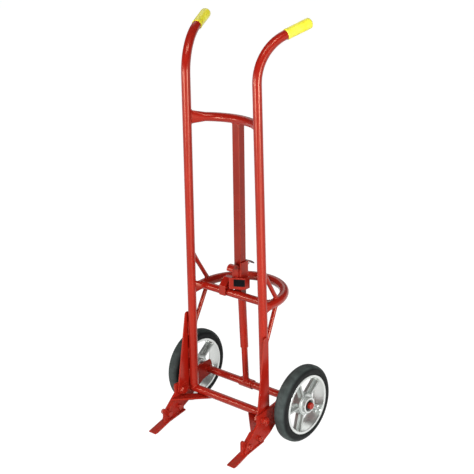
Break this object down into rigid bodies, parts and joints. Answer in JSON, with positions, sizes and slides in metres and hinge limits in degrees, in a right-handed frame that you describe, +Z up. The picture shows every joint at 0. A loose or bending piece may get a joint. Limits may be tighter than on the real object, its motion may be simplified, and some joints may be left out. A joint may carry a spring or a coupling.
{
  "type": "drum hand truck",
  "caption": "Upright drum hand truck: bent tube rails with grips, a bow ring, a mast with a sliding chime hook, toes and spoked wheels on an axle.",
  "frame": {"origin": "centre of the bounding box on the floor, under the truck as it stands upright on its wheels and toe tips", "axes": "+Z up, X along the axle, -Y towards the load (the toes point that way), +Y towards the operator"},
  "size_m": [0.5394, 0.412, 1.3404],
  "materials": {
    "red_paint": "gloss enamel with a light orange peel",
    "yellow_grip": "soft vinyl, satin",
    "tyre_rubber": "smooth moulded rubber",
    "cast_aluminium": "cast, with turned edges",
    "bare_steel": "plated",
    "black_steel": "phosphated, dark",
    "black_paint": "satin",
    "black_plate": "smooth, bare"
  },
  "bodies": {
    "frame": {"axle": "red_paint", "axle_saddle": "red_paint", "axle_spacers": "red_paint", "axle_washers": "black_steel", "bottom_cross_bar": "red_paint", "bow_ring": "red_paint", "cross_member": "red_paint", "foot_bolts": "red_paint", "foot_nuts": "red_paint", "foot_plate_left": "red_paint", "foot_plate_right": "red_paint", "foot_washers": "red_paint", "grip_left": "yellow_grip", "grip_right": "yellow_grip", "gusset_left": "red_paint", "gusset_right": "red_paint", "lower_brace_left": "red_paint", "lower_brace_right": "red_paint", "mast": "red_paint", "mast_lower_tube": "red_paint", "mast_stub_tube": "red_paint", "rail_left": "red_paint", "rail_right": "red_paint", "snap_rings": "black_steel", "strap_left": "red_paint", "strap_right": "red_paint", "toe_left": "red_paint", "toe_right": "red_paint", "upper_brace_left": "red_paint", "upper_brace_right": "red_paint", "upper_cross_tube": "red_paint"},
    "wheel_right": {"wheel_hub_right": "cast_aluminium", "tyre_right": "tyre_rubber", "wheel_bearings_right": "bare_steel"},
    "wheel_left": {"wheel_hub_left": "cast_aluminium", "tyre_left": "tyre_rubber", "wheel_bearings_left": "bare_steel"},
    "carriage": {"carriage_sleeve": "red_paint", "chime_hook": "red_paint", "latch_housing": "red_paint", "name_plate": "black_plate", "carriage_apron": "red_paint", "lever_pin": "bare_steel"},
    "lever": {"release_lever": "black_paint"}
  },
  "joints": [
    {"name": "wheel_right_spin", "type": "hinge", "parent": "frame", "child": "wheel_right", "pos_m": [0.22965, 0.079, 0.127], "axis": [1, 0, 0], "continuous": true},
    {"name": "wheel_left_spin", "type": "hinge", "parent": "frame", "child": "wheel_left", "pos_m": [-0.22965, 0.079, 0.127], "axis": [1, 0, 0], "continuous": true},
    {"name": "carriage_slide", "type": "slide", "parent": "frame", "child": "carriage", "axis": [0, 0, 1], "range_m": [0, 0.442]},
    {"name": "lever_swing", "type": "hinge", "parent": "carriage", "child": "lever", "pos_m": [0, 0.0774, 0.5576], "axis": [1, 0, 0], "range_deg": [0, 25]}
  ]
}
